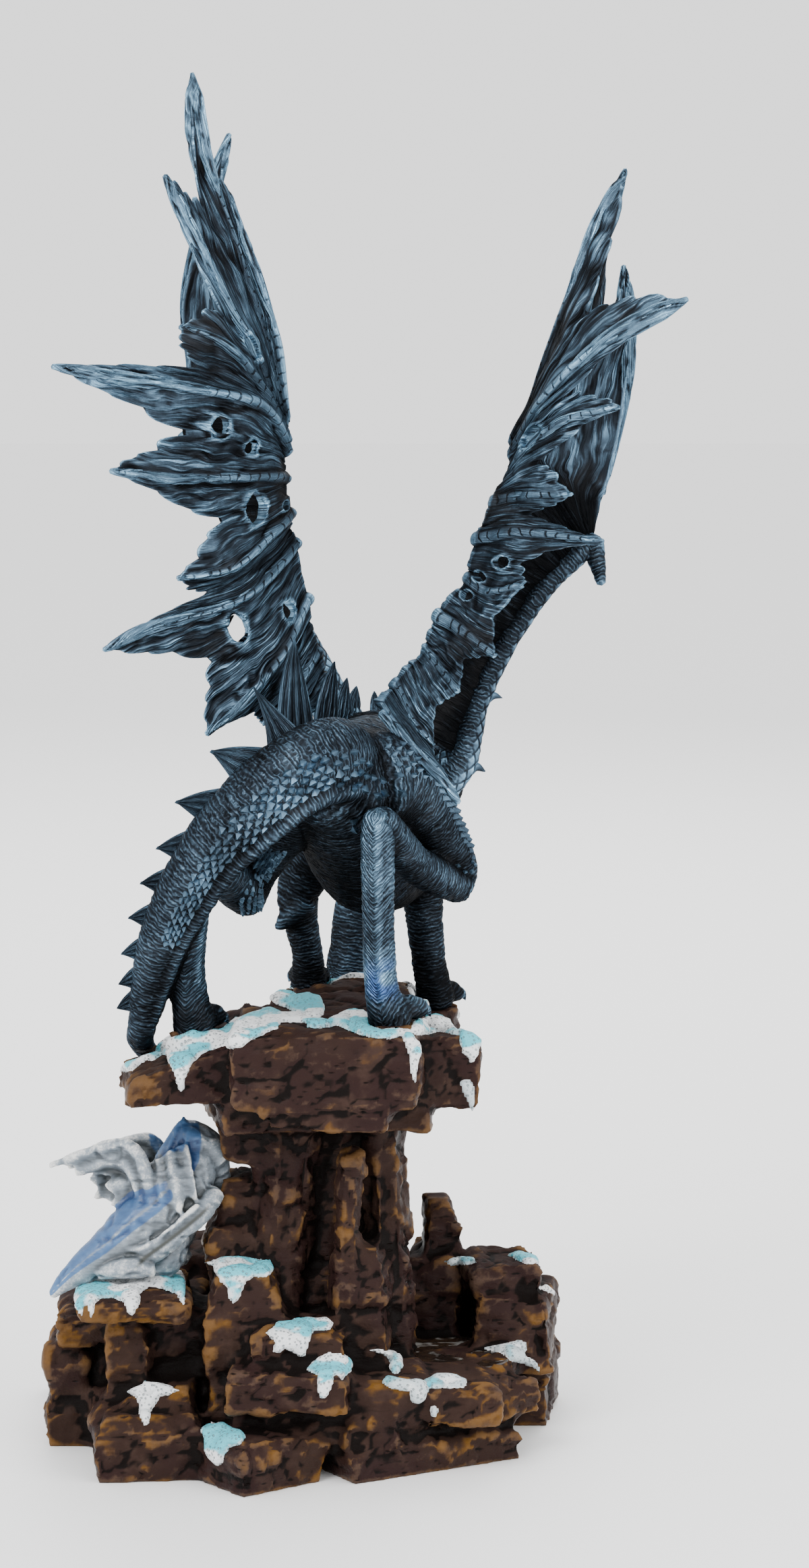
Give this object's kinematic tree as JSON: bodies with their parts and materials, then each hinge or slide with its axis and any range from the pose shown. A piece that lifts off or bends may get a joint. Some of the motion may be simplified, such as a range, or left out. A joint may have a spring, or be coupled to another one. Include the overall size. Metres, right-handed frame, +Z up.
{
  "type": "dragon statue",
  "caption": "Standing dragon with raised folded wings on a snowy rock plinth, seen from behind, with a small white hatchling on a lower slab.",
  "frame": {"origin": "centre of the plinth's underside, on the surface it stands on", "axes": "+Z up; the picture is taken from -Y, and the dragon faces away towards +Y, turned about 16 degrees to the right; +X is the picture's right"},
  "size_m": [0.2168, 0.202, 0.4582],
  "materials": {
    "dragon_paint": "near-black paint with a metallic light steel-blue dry-brush on the raised relief, satin",
    "rock_paint": "brown resin rock with ochre edges, white and turquoise snow patches and a glossy dark pool, semi-matt",
    "hatchling_paint": "white and pale grey paint with a blue stripe and crest, satin"
  },
  "bodies": {
    "root": {"rock_base": "rock_paint", "dragon_body": "dragon_paint", "wing_left": "dragon_paint", "wing_right": "dragon_paint", "hatchling": "hatchling_paint"}
  },
  "joints": []
}
